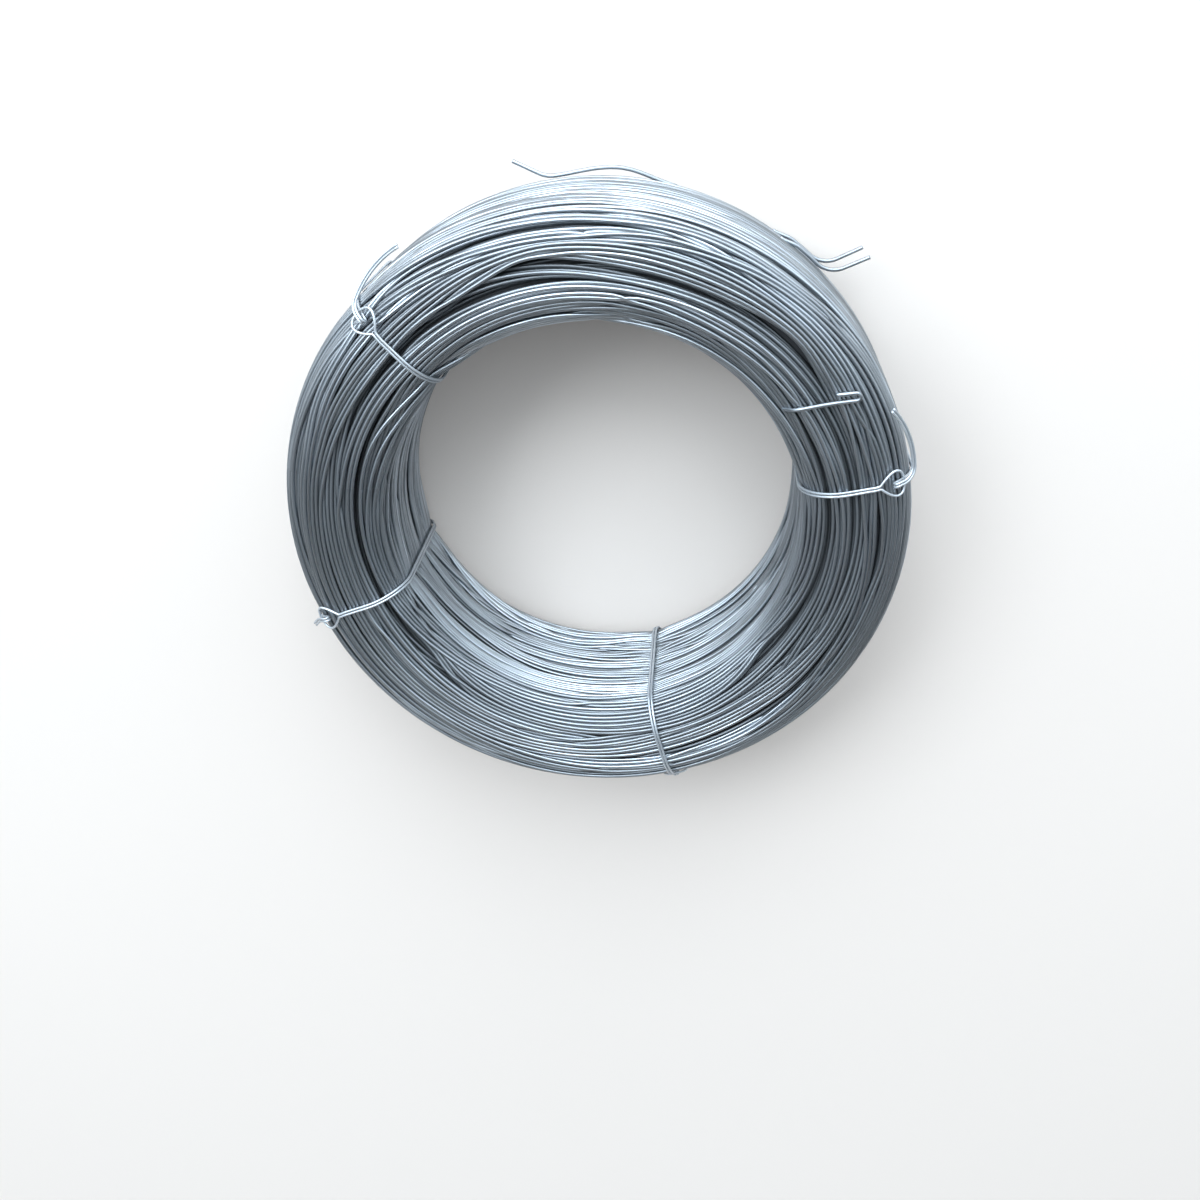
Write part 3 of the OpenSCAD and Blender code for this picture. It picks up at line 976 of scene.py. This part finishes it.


# The dark third colour of each finish is painted shade, mixed in by a strand's depth.
coil_finish = zinc_material("weathered_zinc", zinc, dull=(0.31, 0.33, 0.35), bright=(0.65, 0.70, 0.75),
                            painted_shade=(0.09, 0.095, 0.10), painted_shade_depth=16.0, metallic=1.0)
tie_finish = zinc_material("bright_zinc", zinc, dull=(0.42, 0.45, 0.48), bright=(0.78, 0.81, 0.84),
                           painted_shade=(0.1, 0.1, 0.1), painted_shade_depth=14.0, metallic=0.7)
shade_finish = heart_material()
print("finishes:", coil_finish.name, tie_finish.name, shade_finish.name)

# %% [markdown]
# ## Dressing the pieces
# Every piece takes its finish, rides on the one body and stands for the node of the
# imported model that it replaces.

# %% Dress and place
dressed = [(piece, coil_finish, "galvanized_wire", "wire_coil") for piece in turn_pieces]
dressed.append((heart, shade_finish, "galvanized_wire", "wire_coil"))
for number, piece in enumerate(tie_pieces):
    dressed.append((piece, tie_finish, "tie_wire", f"tie_{number + 1}"))
for name, node in (("wire_outer_end", "outer_end"), ("wire_inner_end", "inner_end"),
                   ("wire_tail_1", "tail_ends"), ("wire_tail_2", "tail_ends")):
    dressed.append((end_pieces[name], coil_finish, "galvanized_wire", node))
for piece, finish, slot, node in dressed:
    piece.data.materials.append(finish)
    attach(piece, "root")
    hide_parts(node)
print(len(dressed), "pieces dressed")

# %% [markdown]
# ## Floor and back wall
# The coil lies on a pale floor that sweeps up into a back wall, as in a studio, so that
# no edge shows behind the coil. The floor is matt and looks nearly white, but it may not light
# the wire from below. So most of its paleness is its colour, and a weak glow is added
# only for the rays that see it.

# %% Stage
FLOOR_HALF = 7.0
COVE_R = 1.5
WALL_TOP = 4.0
COVE_STEPS = 24
FLOOR_COLOUR = (0.65, 0.58, 0.53, 1)
FLOOR_ROUGH = 0.9
FLOOR_GLOW = 0.08


def sweep_mesh():
    """Floor and back wall in one sheet: line, quarter circle and line, drawn out along x."""
    bend = np.linspace(0, np.pi / 2, COVE_STEPS)
    cove = np.stack([FLOOR_HALF - COVE_R + COVE_R * np.sin(bend), COVE_R * (1 - np.cos(bend))], -1)
    profile = np.concatenate([[[-FLOOR_HALF, 0]], cove, [[FLOOR_HALF, WALL_TOP]]])
    left = np.column_stack([np.full(len(profile), -FLOOR_HALF), profile])
    right = left * [-1, 1, 1]
    first = np.arange(len(profile) - 1)
    second = first + len(profile)
    faces = np.stack([first, second, second + 1, first + 1], -1)
    mesh = bpy.data.meshes.new("floor")
    mesh.from_pydata(np.concatenate([left, right]).tolist(), [], faces.tolist())
    mesh.shade_smooth()
    return mesh


def floor_material():
    """A pale matt floor that looks nearly white, yet throws no extra light on the object.

    Its glow is switched on only for rays from the camera and for mirrored and clear
    rays, so the floor keeps the shadow and metal shows the floor as it is seen.
    """
    material = bpy.data.materials.new("pale_floor")
    material.use_nodes = True
    nodes = material.node_tree.nodes
    link = material.node_tree.links.new
    surface = nodes["Principled BSDF"]
    surface.inputs["Base Color"].default_value = FLOOR_COLOUR
    surface.inputs["Roughness"].default_value = FLOOR_ROUGH
    surface.inputs["Emission Color"].default_value = (1, 1, 1, 1)
    path = nodes.new("ShaderNodeLightPath")
    seen = nodes.new("ShaderNodeMath")
    seen.operation = "MAXIMUM"
    link(path.outputs["Is Camera Ray"], seen.inputs[0])
    link(path.outputs["Is Glossy Ray"], seen.inputs[1])
    through = nodes.new("ShaderNodeMath")
    through.operation = "MAXIMUM"
    link(seen.outputs[0], through.inputs[0])
    link(path.outputs["Is Transmission Ray"], through.inputs[1])
    glow = nodes.new("ShaderNodeMath")
    glow.operation = "MULTIPLY"
    glow.inputs[1].default_value = FLOOR_GLOW
    link(through.outputs[0], glow.inputs[0])
    link(glow.outputs[0], surface.inputs["Emission Strength"])
    return material


floor_mesh = sweep_mesh()
floor_mesh.materials.append(floor_material())
floor = bpy.data.objects.new("floor", floor_mesh)
bpy.context.scene.collection.objects.link(floor)
print("stage has", len(floor_mesh.polygons), "faces")

# %% [markdown]
# ## Light
# Bare metal shows what it mirrors. The sky is bright on the near side and dark behind,
# so strands that run across the view shine and strands that run along it stay dark, as
# on a coil that stands out of doors. Three soft lamps add to it: one from the near side,
# one from the left of the picture, and a low one that reaches into the bore.

# %% Light
COIL_CENTRE = (0, 0, COIL_H / 2)
SKY_SIDE = (0.18, -0.98, 0.08)
SKY_FROM, SKY_FULL = -0.20, 0.60
SKY_STRENGTH = 2.2
SKY_COLOUR = (0.78, 0.90, 1.0, 1)
SHADE_COLOUR = (0.030, 0.028, 0.026, 1)
LAMP_COLOUR = (0.80, 0.91, 1.0)
# Name, place, width and height in metres, and power in watts
LAMPS = [
    ("key", (0.9, -4.4, 3.4), 3.2, 3.2, 215),
    ("side_key", (2.6, -1.6, 3.4), 2.0, 2.0, 100),
    ("low_front", (0.3, -2.8, 0.75), 2.6, 0.7, 28),
]


def area_light(name, place, width, height, power):
    """A rectangular lamp at a place, facing the middle of the coil."""
    lamp = bpy.data.lights.new(name, "AREA")
    lamp.shape = "RECTANGLE"
    lamp.size = width
    lamp.size_y = height
    lamp.energy = power
    lamp.color = LAMP_COLOUR
    holder = bpy.data.objects.new(name, lamp)
    bpy.context.scene.collection.objects.link(holder)
    holder.location = place
    holder.rotation_euler = (Vector(COIL_CENTRE) - Vector(place)).to_track_quat("-Z", "Y").to_euler()


def sky_world():
    """A sky that is bright on one side and falls away to shade on the other.

    The way a ray goes, dotted with the way to the bright side, runs through a smooth
    step from the shade's colour to the sky's.
    """
    world = bpy.data.worlds.new("open_sky")
    world.use_nodes = True
    nodes = world.node_tree.nodes
    link = world.node_tree.links.new
    way = nodes.new("ShaderNodeTexCoord")
    facing = nodes.new("ShaderNodeVectorMath")
    facing.operation = "DOT_PRODUCT"
    facing.inputs[1].default_value = SKY_SIDE
    share = nodes.new("ShaderNodeMapRange")
    share.interpolation_type = "SMOOTHSTEP"
    share.inputs["From Min"].default_value = SKY_FROM
    share.inputs["From Max"].default_value = SKY_FULL
    colour = nodes.new("ShaderNodeMix")
    colour.data_type = "RGBA"
    colour.inputs["A"].default_value = SHADE_COLOUR
    colour.inputs["B"].default_value = SKY_COLOUR
    link(way.outputs["Generated"], facing.inputs[0])
    link(facing.outputs["Value"], share.inputs["Value"])
    link(share.outputs["Result"], colour.inputs["Factor"])
    link(colour.outputs["Result"], nodes["Background"].inputs["Color"])
    nodes["Background"].inputs["Strength"].default_value = SKY_STRENGTH
    return world


bpy.context.scene.world = sky_world()
for lamp_setting in LAMPS:
    area_light(*lamp_setting)
print(len(LAMPS), "lamps and a sky")

# %% [markdown]
# ## Camera
# The camera looks down on the ring from the near side and is rolled about half round, so
# that the near side is at the top of the picture and the ring seems to stand up. Its
# distance and its lens were fitted to the outlines of the ring and the bore.

# %% Camera
CAMERA_PLACE = Vector((0.0004, -0.5220, 1.2622))
CAMERA_AIM = Vector((-0.0231, 0.1228, 0.1))
CAMERA_ROLL = np.radians(-170.73)
LENS_MM = 36.0
SENSOR_MM = 36.0
camera_data = bpy.data.cameras.new("camera")
camera_data.lens = LENS_MM
camera_data.sensor_width = SENSOR_MM
camera = bpy.data.objects.new("camera", camera_data)
bpy.context.scene.collection.objects.link(camera)
level = (CAMERA_AIM - CAMERA_PLACE).to_track_quat("-Z", "Y").to_matrix().to_4x4()
camera.matrix_world = Matrix.Translation(CAMERA_PLACE) @ level @ Matrix.Rotation(CAMERA_ROLL, 4, "Z")
bpy.context.scene.camera = camera
bpy.context.scene.view_settings.view_transform = "Standard"
print("camera at", tuple(round(v, 3) for v in CAMERA_PLACE))
